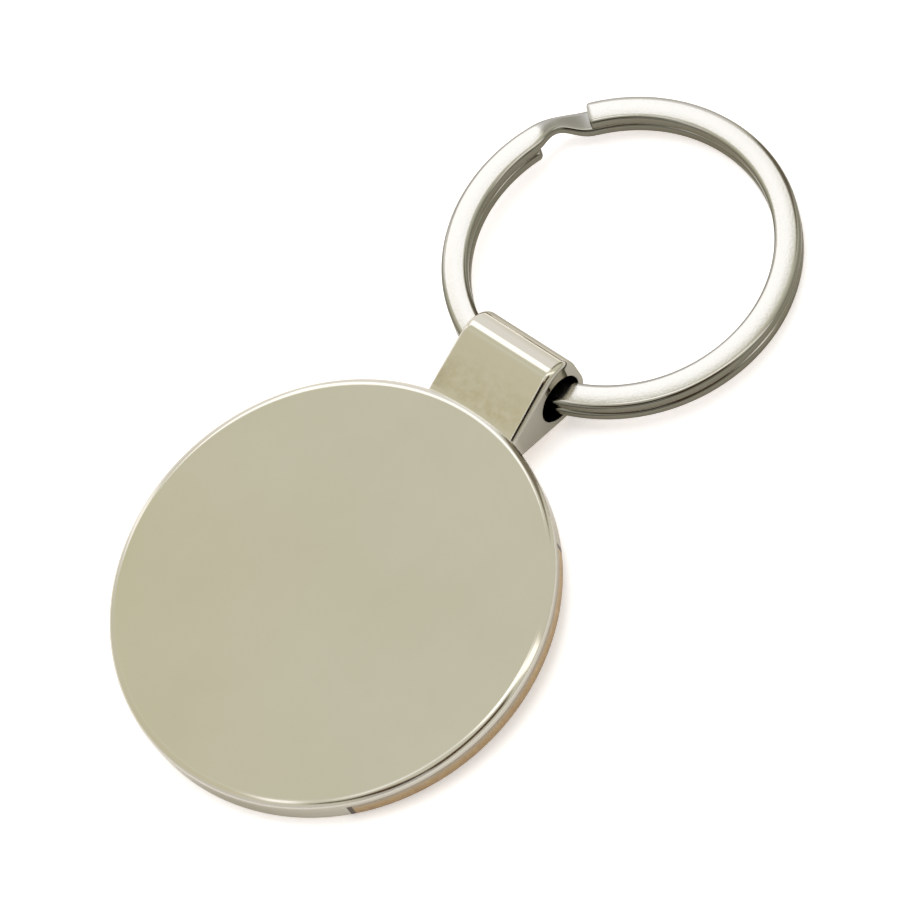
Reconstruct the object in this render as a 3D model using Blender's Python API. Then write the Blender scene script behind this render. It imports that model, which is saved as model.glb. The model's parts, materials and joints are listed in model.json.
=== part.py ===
"""Round metal key tag with a wood inlay under its plate and a two-turn split ring in its lug.

The tag lies face up. The origin is the centre of the wood's underside, +Y points along the
tag to its lug and ring, +X is to the right and +Z is up, square to the metal face.
All lengths are metres and all angles are degrees.
"""
import math

import bmesh
import bpy
import numpy as np
from mathutils import Vector

# Tag plate, a round casting whose rim is rounded below, and above in a flatter ellipse
PLATE_RADIUS = 0.0200
PLATE_THICKNESS = 0.0028
RIM_TOP_REACH = 0.00075
RIM_TOP_DROP = 0.00045
RIM_BOTTOM_ROUND = 0.00050

# Wood inlay, a band across the underside, flush with the rim and glued into its recess
INLAY_THICKNESS = 0.0017
RECESS_HALF_LENGTH = 0.0144
GLUE_THICKNESS = 0.00010
GLUE_MARGIN = 0.00020
FACE_GAP = 0.00003
END_GAP = 0.00030

# Lug, a wedge that grows out of the rim and ends in a rounded barrel
LUG_WIDTH = 0.0100
LUG_MID_HEIGHT = 0.00112
LUG_ROOT_HEIGHT = 0.00332
LUG_BURIED = 0.0025
LUG_EDGE_ROUND = 0.00050
BARREL_CORNER_RADIUS = 0.0028
BARREL_END_WALL = 0.00070
BARREL_FLOOR = 0.00090

# Cross bore that carries the ring, from the rim outwards and below the lug's middle
BORE_REACH = 0.00525
BORE_DROP = 0.00030
BORE_CLEARANCE = 0.00024
BORE_MOUTH_ROUND = 0.00010

# Split ring, one flat wire wound twice, which lies low and a little askew in its bore
RING_OUTER_RADIUS = 0.01585
WIRE_WIDTH = 0.00235
WIRE_THICKNESS = 0.00112
TURN_GAP = 0.00012
WIRE_EDGE_ROUND = 0.00022
RING_SAG = 0.00015
RING_LEAN = 1.9

# Ends and joggle of the wire, as bearings round the ring from +X, seen from above
TOP_END_BEARING = 141.4
BOTTOM_END_BEARING = 161.3
JOGGLE_START_BEARING = 163.0
JOGGLE_END_BEARING = 141.2
NECK_BEARING = 153.2
NECK_SPREAD = 6.5
NECK_DEPTH = 0.00085
TIP_ROUND = 0.00060

# Facet counts
PLATE_SIDES = 112
ROUND_STEPS = 4
BARREL_STEPS = 9
BORE_SIDES = 48
COARSE_STEP = 4.5
FINE_STEP = 1.1
TIP_STEP = 0.5
CORNER_STEPS = 2

# Edges that turn more than this, in degrees, are shaded sharp
SHARP_ANGLE = 35.0

# How far a cutter runs past what it cuts
OVERRUN = 0.001

# Search for the ring's droop, in degrees and steps
STEEPEST_DROOP = 45.0
DROOP_HALVINGS = 40

# Sizes of the ring, then of the bore that it passes, then of the barrel round the bore
WIRE_PITCH = WIRE_THICKNESS + TURN_GAP
RING_THICKNESS = WIRE_PITCH + WIRE_THICKNESS
RING_MID_RADIUS = RING_OUTER_RADIUS - WIRE_WIDTH / 2
RING_INNER_RADIUS = RING_OUTER_RADIUS - WIRE_WIDTH
RING_NEAR_REACH = math.sqrt(RING_INNER_RADIUS ** 2 - (LUG_WIDTH / 2) ** 2)
RING_SEAT = (RING_OUTER_RADIUS + RING_NEAR_REACH) / 2
BORE_RADIUS = math.hypot(RING_OUTER_RADIUS - RING_SEAT, RING_THICKNESS / 2) + BORE_CLEARANCE
BORE_Y = PLATE_RADIUS + BORE_REACH
BORE_HEIGHT = LUG_MID_HEIGHT - BORE_DROP
LUG_REACH = BORE_Y + BORE_RADIUS + BARREL_END_WALL
LUG_HEIGHT = 2 * (BORE_DROP + BORE_RADIUS + BARREL_FLOOR)
RECESS_DEPTH = INLAY_THICKNESS + GLUE_THICKNESS + 2 * FACE_GAP


def clear_scene():
    for item in list(bpy.data.objects):
        bpy.data.objects.remove(item, do_unlink=True)


def material(name, colour, roughness, metallic):
    finish = bpy.data.materials.new(name)
    finish.use_nodes = True
    shader = finish.node_tree.nodes["Principled BSDF"]
    shader.inputs["Base Color"].default_value = (*colour, 1.0)
    shader.inputs["Roughness"].default_value = roughness
    shader.inputs["Metallic"].default_value = metallic
    finish.diffuse_color = (*colour, 1.0)
    return finish


def add_object(name, shape, finish=None):
    """Turn a bmesh into an object, smooth on its round stretches and sharp on its edges."""
    bmesh.ops.recalc_face_normals(shape, faces=shape.faces)
    mesh = bpy.data.meshes.new(name)
    shape.to_mesh(mesh)
    shape.free()
    mesh.shade_smooth()
    mesh.set_sharp_from_angle(angle=math.radians(SHARP_ANGLE))
    item = bpy.data.objects.new(name, mesh)
    bpy.context.scene.collection.objects.link(item)
    if finish is not None:
        mesh.materials.append(finish)
    return item


def add_cutter(name, shape):
    item = add_object(name, shape)
    item.hide_render = True
    item.display_type = "WIRE"
    return item


def combine(item, tool, operation):
    change = item.modifiers.new(tool.name, "BOOLEAN")
    change.operation = operation
    change.object = tool
    change.solver = "EXACT"
    return change


def box_shape(low, high):
    """Box between two corners."""
    low, high = Vector(low), Vector(high)
    shape = bmesh.new()
    bmesh.ops.create_cube(shape, size=1.0)
    bmesh.ops.scale(shape, vec=high - low, verts=shape.verts)
    bmesh.ops.translate(shape, vec=(low + high) / 2, verts=shape.verts)
    return shape


def rim_edges(shape, height):
    """Edges that lie flat at one height, which on a disc are its rim."""
    slack = RIM_BOTTOM_ROUND / 100
    return [edge for edge in shape.edges if all(abs(v.co.z - height) < slack for v in edge.verts)]


def disc_shape(radius, low, high, bottom_round, top_drop, top_reach):
    """Flat disc from height low to high, with its lower and upper rims rounded.

    The upper rounding is cut as a quarter circle, then stretched inwards into an ellipse.
    """
    shape = bmesh.new()
    bmesh.ops.create_cone(shape, cap_ends=True, segments=PLATE_SIDES, radius1=radius,
                          radius2=radius, depth=high - low)
    bmesh.ops.translate(shape, vec=(0, 0, (low + high) / 2), verts=shape.verts)
    for height, rounding in ((low, bottom_round), (high, top_drop)):
        if rounding > 0:
            bmesh.ops.bevel(shape, geom=rim_edges(shape, height), offset=rounding,
                            offset_type="OFFSET", segments=ROUND_STEPS, profile=0.5,
                            affect="EDGES")
    if top_drop > 0:
        for v in shape.verts:
            if v.co.z > (low + high) / 2:
                inset = radius - v.co.xy.length
                v.co.xy *= (radius - inset * top_reach / top_drop) / (radius - inset)
    return shape


def arc(centre, radius, start, end, steps):
    """Points in the YZ plane on an arc, with angles measured from +Y towards +Z."""
    turn = np.radians(np.linspace(start, end, steps + 1))
    return [(centre[0] + radius * math.cos(a), centre[1] + radius * math.sin(a)) for a in turn]


def tangent_slope(run, rise, radius_change):
    """Slope of the line that touches two circles on the same side, whose radii differ."""
    return math.atan2(rise, run) + math.asin(radius_change / math.hypot(run, rise))


def lug_corner_centres():
    """Centres of the barrel's upper and lower corner arcs in the YZ plane."""
    y = LUG_REACH - BARREL_CORNER_RADIUS
    rise = LUG_HEIGHT / 2 - BARREL_CORNER_RADIUS
    return (y, LUG_MID_HEIGHT + rise), (y, LUG_MID_HEIGHT - rise)


def lug_outline():
    """Side view of the lug, counter-clockwise: lower slope, barrel end, upper slope.

    Both slopes leave the rim at the root's height and touch the barrel's corner arcs.
    """
    upper, lower = lug_corner_centres()
    run, rise = upper[0] - PLATE_RADIUS, upper[1] - LUG_MID_HEIGHT - LUG_ROOT_HEIGHT / 2
    taper = math.degrees(tangent_slope(run, rise, BARREL_CORNER_RADIUS))
    low_arc = arc(lower, BARREL_CORNER_RADIUS, -90.0 - taper, 0.0, BARREL_STEPS)
    high_arc = arc(upper, BARREL_CORNER_RADIUS, 0.0, 90.0 + taper, BARREL_STEPS)
    half = LUG_ROOT_HEIGHT / 2 - LUG_BURIED * math.tan(math.radians(taper))
    root_y = PLATE_RADIUS - LUG_BURIED
    return low_arc + high_arc + [(root_y, LUG_MID_HEIGHT + half), (root_y, LUG_MID_HEIGHT - half)]


def lug_shape():
    """The outline extruded across the tag, with the edges of both side faces rounded."""
    shape = bmesh.new()
    side = [shape.verts.new((-LUG_WIDTH / 2, y, z)) for y, z in lug_outline()]
    face = shape.faces.new(side)
    moved = bmesh.ops.extrude_face_region(shape, geom=[face])["geom"]
    far = [v for v in moved if isinstance(v, bmesh.types.BMVert)]
    bmesh.ops.translate(shape, vec=(LUG_WIDTH, 0, 0), verts=far)
    outer = [e for e in shape.edges if abs(e.verts[0].co.x - e.verts[1].co.x) < LUG_WIDTH / 2]
    bmesh.ops.recalc_face_normals(shape, faces=shape.faces)
    bmesh.ops.bevel(shape, geom=outer, offset=LUG_EDGE_ROUND, offset_type="OFFSET",
                    segments=ROUND_STEPS - 1, profile=0.5, affect="EDGES")
    return shape


def bore_profile():
    """Half section of the bore cutter as (x, radius), with a rounded flare at each mouth."""
    end = LUG_WIDTH / 2
    wide = BORE_RADIUS + BORE_MOUTH_ROUND
    flare = []
    for a in np.radians(np.linspace(0.0, 90.0, ROUND_STEPS)):
        x = end - BORE_MOUTH_ROUND + BORE_MOUTH_ROUND * math.sin(a)
        flare.append((x, wide - BORE_MOUTH_ROUND * math.cos(a)))
    right = flare + [(end + OVERRUN, wide), (end + OVERRUN, 0.0)]
    left = [(-x, r) for x, r in reversed(right)]
    return left + right


def bore_shape():
    """The half section turned about the bore's axis."""
    shape = bmesh.new()
    points = [shape.verts.new((x, 0, r)) for x, r in bore_profile()]
    edges = [shape.edges.new(pair) for pair in zip(points, points[1:])]
    bmesh.ops.spin(shape, geom=points + edges, cent=(0, 0, 0), axis=(1, 0, 0),
                   angle=math.tau, steps=BORE_SIDES, use_duplicate=False)
    bmesh.ops.remove_doubles(shape, verts=shape.verts, dist=BORE_RADIUS / 1000)
    bmesh.ops.translate(shape, vec=(0, BORE_Y, BORE_HEIGHT), verts=shape.verts)
    return shape


def tag_body(finish):
    """Casting: the plate with the lug joined on, bored across and recessed underneath."""
    plate = disc_shape(PLATE_RADIUS, 0, PLATE_THICKNESS, RIM_BOTTOM_ROUND, RIM_TOP_DROP,
                       RIM_TOP_REACH)
    body = add_object("tag_body", plate, finish)
    lug = add_cutter("lug_blank", lug_shape())
    bore = add_cutter("bore_cutter", bore_shape())
    half = RECESS_HALF_LENGTH
    reach = PLATE_RADIUS + OVERRUN
    recess = add_cutter("recess_cutter", box_shape((-reach, -half, -OVERRUN),
                                                   (reach, half, RECESS_DEPTH)))
    combine(body, lug, "UNION")
    combine(body, bore, "DIFFERENCE")
    combine(body, recess, "DIFFERENCE")
    return body


def band(name, radius, half_length, low, high, bottom_round, finish):
    """Disc cut to a band between two straight ends across the tag."""
    item = add_object(name, disc_shape(radius, low, high, bottom_round, 0, 0), finish)
    reach = radius + OVERRUN
    blank = add_cutter(name + "_trim", box_shape((-reach, -half_length, low - OVERRUN),
                                                 (reach, half_length, high + OVERRUN)))
    combine(item, blank, "INTERSECT")
    return item


def wood_inlay(finish):
    half = RECESS_HALF_LENGTH - END_GAP
    return band("wood_inlay", PLATE_RADIUS, half, 0, INLAY_THICKNESS, RIM_BOTTOM_ROUND, finish)


def glue_sheet(finish):
    half = RECESS_HALF_LENGTH - END_GAP - GLUE_MARGIN
    low = INLAY_THICKNESS + FACE_GAP
    radius = PLATE_RADIUS - GLUE_MARGIN
    return band("glue_sheet", radius, half, low, low + GLUE_THICKNESS, 0, finish)


def ease(share):
    """Smooth step from 0 to 1 with level ends."""
    share = np.clip(share, 0.0, 1.0)
    return share * share * (3.0 - 2.0 * share)


def evenly(start, end, step):
    """Values from start to end, as near to one step apart as fits."""
    return np.linspace(start, end, round((end - start) / step) + 1)


def ring_stations():
    """Angles wound clockwise from the upper end, closer together where the wire is shaped."""
    total = 720.0 - (BOTTOM_END_BEARING - TOP_END_BEARING)
    start = 360.0 - (JOGGLE_START_BEARING - TOP_END_BEARING)
    end = 360.0 - (JOGGLE_END_BEARING - TOP_END_BEARING)
    tip = total - math.degrees(TIP_ROUND / RING_MID_RADIUS)
    stretches = [evenly(0.0, start, COARSE_STEP), evenly(start, end, FINE_STEP),
                 evenly(end, tip, COARSE_STEP), evenly(tip, total, TIP_STEP)]
    return np.unique(np.concatenate(stretches)), start, end, total


def ring_path():
    """Bearing, radius, height and half width of the wire at each station.

    At the joggle the wire steps down by one pitch along a smooth ramp, and its inner side is
    drawn in by a bell-shaped neck.
    """
    wound, start, end, total = ring_stations()
    height = WIRE_PITCH * (0.5 - ease((wound - start) / (end - start)))
    past_neck = wound - (360.0 + TOP_END_BEARING - NECK_BEARING)
    neck = NECK_DEPTH * np.exp(-(past_neck / NECK_SPREAD) ** 2)
    from_tip = np.radians(total - wound) * RING_MID_RADIUS
    corner = np.clip(1.0 - from_tip / TIP_ROUND, 0.0, 1.0)
    rounding = TIP_ROUND * (1.0 - np.sqrt(1.0 - corner ** 2))
    half = (WIRE_WIDTH - neck) / 2 - rounding
    return np.radians(TOP_END_BEARING - wound), RING_MID_RADIUS + neck / 2, height, half


def wire_section(half_width):
    """Rounded rectangle for each half width, as arrays of width and thickness offsets."""
    quarter = np.linspace(0.0, math.pi / 2, CORNER_STEPS + 1)
    turn = np.concatenate([quarter + k * math.pi / 2 for k in range(4)])
    side_w = np.repeat([1, -1, -1, 1], CORNER_STEPS + 1)
    side_t = np.repeat([1, 1, -1, -1], CORNER_STEPS + 1)
    core = half_width[:, None] - WIRE_EDGE_ROUND
    wide = core * side_w + WIRE_EDGE_ROUND * np.cos(turn)
    thick = (WIRE_THICKNESS / 2 - WIRE_EDGE_ROUND) * side_t + WIRE_EDGE_ROUND * np.sin(turn)
    return wide, np.broadcast_to(thick, wide.shape)


def ring_points():
    """The section carried round the path, stations by section points by XYZ."""
    bearing, radius, height, half = ring_path()
    wide, thick = wire_section(half)
    reach = radius[:, None] + wide
    x = reach * np.cos(bearing)[:, None]
    y = reach * np.sin(bearing)[:, None]
    return np.stack([x, y, height[:, None] + thick], axis=2)


def least_turn_gap(points):
    """Smallest distance between points of the wire that lie over half a turn apart."""
    bearing = ring_path()[0]
    least = math.inf
    for number, section in enumerate(points):
        apart = points[np.abs(bearing - bearing[number]) > math.pi].reshape(-1, 3)
        if len(apart):
            steps = apart[:, None, :] - section[None, :, :]
            least = min(least, float(np.sqrt((steps ** 2).sum(axis=2)).min()))
    return least


def ring_shape(points):
    """The two-turn wire as one closed tube with a flat cap on each end."""
    corners = points.shape[1]
    shape = bmesh.new()
    rows = [[shape.verts.new(p) for p in row] for row in points.tolist()]
    for row, following in zip(rows, rows[1:]):
        for k in range(corners):
            n = (k + 1) % corners
            shape.faces.new((row[k], row[n], following[n], following[k]))
    shape.faces.new(rows[0])
    shape.faces.new(list(reversed(rows[-1])))
    return shape


def rim_round_centre():
    """Centre of the lower rounding, in the YZ plane, where the rim is farthest from the lug."""
    return RIM_BOTTOM_ROUND - PLATE_RADIUS, RIM_BOTTOM_ROUND


def table_slope():
    """Tilt of the table under the tag, which touches the plate's far rim and the barrel."""
    barrel, rim = lug_corner_centres()[1], rim_round_centre()
    return tangent_slope(barrel[0] - rim[0], barrel[1] - rim[1],
                         RIM_BOTTOM_ROUND - BARREL_CORNER_RADIUS)


def height_over_table(y, z):
    """Distance of points from the table's plane, above it positive."""
    slope = table_slope()
    along, up = y - rim_round_centre()[0], z - rim_round_centre()[1]
    return up * math.cos(slope) - along * math.sin(slope) + RIM_BOTTOM_ROUND


def seated_ring():
    """The wire's points from the bore's axis, with the ring level but for its lean."""
    lean = math.radians(RING_LEAN)
    x, y, z = np.moveaxis(ring_points(), 2, 0)
    level = z - RING_SAG
    return np.stack([x * math.cos(lean) + level * math.sin(lean), y + RING_SEAT,
                     level * math.cos(lean) - x * math.sin(lean)], axis=2)


def ring_droop(points):
    """Angle below the plate's plane at which the ring's lowest point reaches the table.

    The angle is found by halving a range, because the lowest point shifts round the ring.
    """
    y, z = points[..., 1], points[..., 2]
    low, high = 0.0, math.radians(STEEPEST_DROOP)
    for _ in range(DROOP_HALVINGS):
        angle = (low + high) / 2
        turned_y = y * math.cos(angle) + z * math.sin(angle) + BORE_Y
        turned_z = z * math.cos(angle) - y * math.sin(angle) + BORE_HEIGHT
        clear = float(height_over_table(turned_y, turned_z).min()) > 0
        low, high = (angle, high) if clear else (low, angle)
    return low


def split_ring(finish):
    """The wound wire on an empty that sits on the bore's axis, where the ring swings."""
    points = seated_ring()
    droop = ring_droop(points)
    print("least gap between the turns, mm:", round(least_turn_gap(points) * 1000, 3))
    print("ring droop, degrees:", round(math.degrees(droop), 3))
    hinge = bpy.data.objects.new("ring_hinge", None)
    bpy.context.scene.collection.objects.link(hinge)
    hinge.location = (0, BORE_Y, BORE_HEIGHT)
    hinge.rotation_euler = (-droop, 0, 0)
    ring = add_object("split_ring", ring_shape(points), finish)
    ring.parent = hinge
    return ring


def build():
    clear_scene()
    nickel = material("polished_nickel", (0.62, 0.60, 0.52), 0.08, 1.0)
    satin = material("satin_nickel", (0.66, 0.64, 0.58), 0.28, 1.0)
    wood = material("pale_wood", (0.52, 0.34, 0.19), 0.6, 0.0)
    glue = material("glue", (0.36, 0.24, 0.13), 0.5, 0.0)
    tag_body(nickel)
    wood_inlay(wood)
    glue_sheet(glue)
    split_ring(satin)
    print("table slope, degrees:", round(math.degrees(table_slope()), 3))
    print("bore radius, mm:", round(BORE_RADIUS * 1000, 3))


build()
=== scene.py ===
# %% [markdown]
# The object is a round key tag: a nickel-plated casting with a band of wood let in underneath,
# and a split ring in its lug. A packed, dimensioned model of it exists already. That model could
# be painted as it is, but a mirror finish shows every facet, so this lesson builds finer
# surfaces that take its pieces' places. The model is loaded first.

# %% Load the frame
import json
import math

import bmesh
import bpy
import numpy as np
from mathutils import Matrix, Vector


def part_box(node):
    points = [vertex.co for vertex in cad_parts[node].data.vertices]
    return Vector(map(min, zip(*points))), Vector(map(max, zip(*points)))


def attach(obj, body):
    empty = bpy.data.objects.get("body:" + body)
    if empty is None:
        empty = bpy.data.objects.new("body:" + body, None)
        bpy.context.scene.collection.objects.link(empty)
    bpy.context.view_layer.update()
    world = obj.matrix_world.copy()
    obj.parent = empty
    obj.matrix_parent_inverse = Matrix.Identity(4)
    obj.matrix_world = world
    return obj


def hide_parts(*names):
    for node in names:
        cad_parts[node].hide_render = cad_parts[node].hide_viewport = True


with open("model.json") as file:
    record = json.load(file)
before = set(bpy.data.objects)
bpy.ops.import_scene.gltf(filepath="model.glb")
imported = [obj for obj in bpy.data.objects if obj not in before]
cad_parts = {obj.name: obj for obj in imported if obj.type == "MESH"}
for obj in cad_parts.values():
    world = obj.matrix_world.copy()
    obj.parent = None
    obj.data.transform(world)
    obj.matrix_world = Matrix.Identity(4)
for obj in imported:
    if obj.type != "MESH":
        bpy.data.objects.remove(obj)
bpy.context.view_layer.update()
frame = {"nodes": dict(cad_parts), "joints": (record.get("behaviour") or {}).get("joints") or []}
MM = 0.001
print("nodes:", sorted(frame["nodes"]))

# %% [markdown]
# Small goods are photographed through a long lens from far away, which keeps circles calm. The
# camera could be pushed into place by hand. Here it is worked out from the point that it looks
# at, its bearing round the object, its height and its roll, because each of these can be set
# against the photograph by itself. Angles are in degrees, and the lens and its sensor are in
# millimetres, as Blender takes them.

# %% Camera
VIEW_TARGET = Vector((-0.81, 16.39, 0.0)) * MM
VIEW_DISTANCE = 485.17 * MM
VIEW_AZIMUTH = 70.0
VIEW_ELEVATION = 59.573
VIEW_ROLL = -33.914
LENS = 225.0
SENSOR_WIDTH = 36.0
NEAREST_SEEN = 10.0 * MM


def camera_axes(azimuth, elevation, roll):
    """Right, up and backward directions of a camera that looks at the object from outside."""
    a, e = math.radians(azimuth), math.radians(elevation)
    back = Vector((math.sin(a) * math.cos(e), -math.cos(a) * math.cos(e), math.sin(e)))
    level = Vector((math.cos(a), math.sin(a), 0.0))
    right = Matrix.Rotation(math.radians(roll), 3, back) @ level
    return right, back.cross(right), back


def add_camera():
    """Camera at the target plus the distance along its backward direction."""
    camera = bpy.data.objects.new("camera", bpy.data.cameras.new("camera"))
    bpy.context.scene.collection.objects.link(camera)
    right, up, back = camera_axes(VIEW_AZIMUTH, VIEW_ELEVATION, VIEW_ROLL)
    turn = Matrix((right, up, back)).transposed().to_4x4()
    camera.matrix_world = Matrix.Translation(VIEW_TARGET + back * VIEW_DISTANCE) @ turn
    camera.data.lens = LENS
    camera.data.sensor_width = SENSOR_WIDTH
    camera.data.clip_start = NEAREST_SEEN
    return camera


bpy.context.scene.camera = add_camera()
bpy.context.scene.view_settings.view_transform = "Standard"
print("camera at, mm:", [round(v / MM, 1) for v in bpy.context.scene.camera.location])

# %% [markdown]
# Every new piece could be modelled by hand, but each of them is a surface with two parameters:
# a profile that is turned, or carried along a path. So a piece is worked out as an array of
# points. One helper turns such an array into a mesh by joining each point to its neighbours
# with four-sided faces.

# %% From arrays to meshes
WELD = 0.001 * MM


def link(name, mesh):
    """New object with the mesh, put into the scene."""
    item = bpy.data.objects.new(name, mesh)
    bpy.context.scene.collection.objects.link(item)
    return item


def grid_faces(rows, columns, wrap_columns):
    """Corner numbers of the quads on a grid, row by row; wrap_columns closes it to a band."""
    steps = columns if wrap_columns else columns - 1
    row, column = np.meshgrid(np.arange(rows - 1), np.arange(steps), indexing="ij")
    after, beside = row + 1, (column + 1) % columns
    corners = [row * columns + column, row * columns + beside,
               after * columns + beside, after * columns + column]
    return np.stack(corners, axis=-1).reshape(-1, 4)


def surface(name, points, wrap_columns=False, cap_rows=False, weld=0.0):
    """Mesh from a grid of points; cap_rows closes the first and last row with a flat face."""
    rows, columns = points.shape[:2]
    faces = grid_faces(rows, columns, wrap_columns).tolist()
    if cap_rows:
        faces.append(list(range(columns)))
        faces.append(list(range((rows - 1) * columns, rows * columns)))
    mesh = bpy.data.meshes.new(name)
    mesh.from_pydata(points.reshape(-1, 3).tolist(), [], faces)
    shape = bmesh.new()
    shape.from_mesh(mesh)
    if weld > 0:
        bmesh.ops.remove_doubles(shape, verts=shape.verts, dist=weld)
    bmesh.ops.recalc_face_normals(shape, faces=shape.faces)
    shape.to_mesh(mesh)
    shape.free()
    mesh.shade_smooth()
    return link(name, mesh)


def arc(centre, radii, start, end, steps):
    """Points at the centre plus (width cos a, height sin a), with a from start to end."""
    width, height = np.broadcast_to(radii, 2)
    a = np.radians(np.linspace(start, end, steps + 1))
    return np.stack([centre[0] + width * np.cos(a), centre[1] + height * np.sin(a)], axis=1)


def revolve(profile, steps):
    """Profile of (radius, height) turned about Z: x = r cos a, y = r sin a, z = height."""
    a = np.linspace(0.0, math.tau, steps, endpoint=False)
    r, z = profile[:, 0][:, None], profile[:, 1][:, None]
    return np.stack([r * np.cos(a), r * np.sin(a), z + 0 * a], axis=2)


print("faces on a closed band of 2 by 8 points:", len(grid_faces(2, 8, True)))

# %% [markdown]
# The casting is die-cast in one piece and then bored. Its sizes repeat the dimensioned model's,
# with finer roundings, so that the surfaces lie where its solids do. They could all be typed,
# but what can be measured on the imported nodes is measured, because then it follows the model.

# %% Sizes of the casting
PLATE_RADIUS = 20.0 * MM
PLATE_THICKNESS = 2.8 * MM
RIM_TOP_REACH = 0.75 * MM
RIM_TOP_DROP = 0.45 * MM
RIM_BOTTOM_ROUND = 0.50 * MM
RECESS_HALF_LENGTH = 14.4 * MM
RECESS_DEPTH = 1.86 * MM
LUG_WIDTH = 10.0 * MM
LUG_MID_HEIGHT = 1.12 * MM
LUG_ROOT_HEIGHT = 3.32 * MM
LUG_BURIED = 2.5 * MM
EDGE_ROUND_ROOT = 0.42 * MM
EDGE_ROUND_BARREL = 0.62 * MM
EDGE_ROUND_BELOW = 0.35 * MM
BARREL_CORNER_RADIUS = 2.6 * MM
BORE_RADIUS = 2.272 * MM
BORE_MOUTH_ROUND = 0.05 * MM
HINGE = Vector(frame["joints"][0]["pos_m"])
OVERRUN = 1.0 * MM

LUG_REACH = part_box("tag_body")[1].y
LUG_HEIGHT = 2 * (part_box("tag_body")[1].z - LUG_MID_HEIGHT)
print("lug reach and height, mm:", round(LUG_REACH / MM, 3), round(LUG_HEIGHT / MM, 3))

# %% [markdown]
# The plate is a thick disc with a softly rounded rim. A cylinder with a bevel would give even
# roundings. Here the upper one is wider than it is high, so the plate is a turned profile,
# which runs from the centre of the bare face out over the rim and back under to the centre.

# %% Plate
PLATE_STEPS = 360
RIM_STEPS = 14


def lower_rim():
    """Quarter circle (radius, height) from the rim's side to the underside."""
    return arc((PLATE_RADIUS - RIM_BOTTOM_ROUND, RIM_BOTTOM_ROUND),
               RIM_BOTTOM_ROUND, 0.0, -90.0, RIM_STEPS)


def plate_profile():
    """(radius, height) from the top's centre round the rim to the bottom's centre."""
    top = arc((PLATE_RADIUS - RIM_TOP_REACH, PLATE_THICKNESS - RIM_TOP_DROP),
              (RIM_TOP_REACH, RIM_TOP_DROP), 90.0, 0.0, RIM_STEPS)
    return np.concatenate([[(0.0, PLATE_THICKNESS)], top, lower_rim(), [(0.0, 0.0)]])


casting = surface("tag_casting", revolve(plate_profile(), PLATE_STEPS),
                  wrap_columns=True, weld=WELD)
print("plate faces:", len(casting.data.polygons))

# %% [markdown]
# The lug is a wedge that swells into the barrel round the bore. A bevel on an extruded outline
# would round all its edges alike. On the casting they are polished rounder towards the barrel,
# so the side view is carried across the tag instead, and shrinks along its own normals by a
# quarter circle towards each side face.

# %% Lug
BARREL_STEPS = 28
EDGE_STEPS = 8


def ease(share):
    """Smooth step: 3 s squared minus 2 s cubed, level at both ends."""
    share = np.clip(share, 0.0, 1.0)
    return share * share * (3.0 - 2.0 * share)


def lug_side_view():
    """Outline points (y, z) and their outward normals, from the lower root round the barrel.

    The slopes leave the rim at the root's height and touch the barrel's corner arcs. The slope
    is the angle of the line to the arc's centre plus arcsin(radius / distance).
    """
    centre = np.array([LUG_REACH - BARREL_CORNER_RADIUS, LUG_HEIGHT / 2 - BARREL_CORNER_RADIUS])
    run, rise = centre[0] - PLATE_RADIUS, centre[1] - LUG_ROOT_HEIGHT / 2
    slope = math.atan2(rise, run) + math.asin(BARREL_CORNER_RADIUS / math.hypot(run, rise))
    turn = np.radians(np.linspace(0.0, 90.0 + math.degrees(slope), BARREL_STEPS + 1))
    normals = np.stack([np.cos(turn), np.sin(turn)], axis=1)
    upper = centre + BARREL_CORNER_RADIUS * normals
    root = [PLATE_RADIUS - LUG_BURIED, LUG_ROOT_HEIGHT / 2 - LUG_BURIED * math.tan(slope)]
    upper, normals = np.vstack([upper, root]), np.vstack([normals, normals[-1]])
    down = np.array([1.0, -1.0])
    points = np.vstack([upper[::-1] * down, upper]) + [0.0, LUG_MID_HEIGHT]
    return points, np.vstack([normals[::-1] * down, normals])


def edge_rounding(outline):
    """Radius of the side edges at each point of the outline.

    It grows evenly from the root to the barrel. Downwards it eases to its least value, over the
    middle half of the lug's height, because the casting is hardly polished underneath.
    """
    along = (outline[:, 0] - PLATE_RADIUS) / (LUG_REACH - BARREL_CORNER_RADIUS - PLATE_RADIUS)
    above = EDGE_ROUND_ROOT + (EDGE_ROUND_BARREL - EDGE_ROUND_ROOT) * np.clip(along, 0.0, 1.0)
    up = ease(0.5 + (outline[:, 1] - LUG_MID_HEIGHT) / (LUG_HEIGHT / 2))
    return EDGE_ROUND_BELOW + (above - EDGE_ROUND_BELOW) * up


def lug_points():
    """Side view p carried across x: p - n e (1 - sin a), x = half - e (1 - cos a), a 0 to 90."""
    outline, normals = lug_side_view()
    a = np.radians(np.linspace(0.0, 90.0, EDGE_STEPS + 1))[:, None]
    e = edge_rounding(outline)[None]
    inset, across = e * (1.0 - np.sin(a)), LUG_WIDTH / 2 - e * (1.0 - np.cos(a))
    inset, across = np.vstack([inset, inset[::-1]]), np.vstack([across, -across[::-1]])
    yz = outline[None] - normals[None] * inset[:, :, None]
    return np.concatenate([across[:, :, None], yz], axis=2)


lug = surface("lug_blank", lug_points(), wrap_columns=True, cap_rows=True)
print("lug faces:", len(lug.data.polygons))

# %% [markdown]
# The bore carries the ring, and the recess takes the wood. Both could be modelled into the
# casting's faces, but where a bore leaves a rounded edge the faces get hard to lay by hand. So
# they are cut from the joined plate and lug, as a machinist would finish the casting, and the
# cutters are thrown away. The bore's cutter flares at both mouths, which rounds them slightly.

# %% Bore and recess
BORE_STEPS = 128


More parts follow.
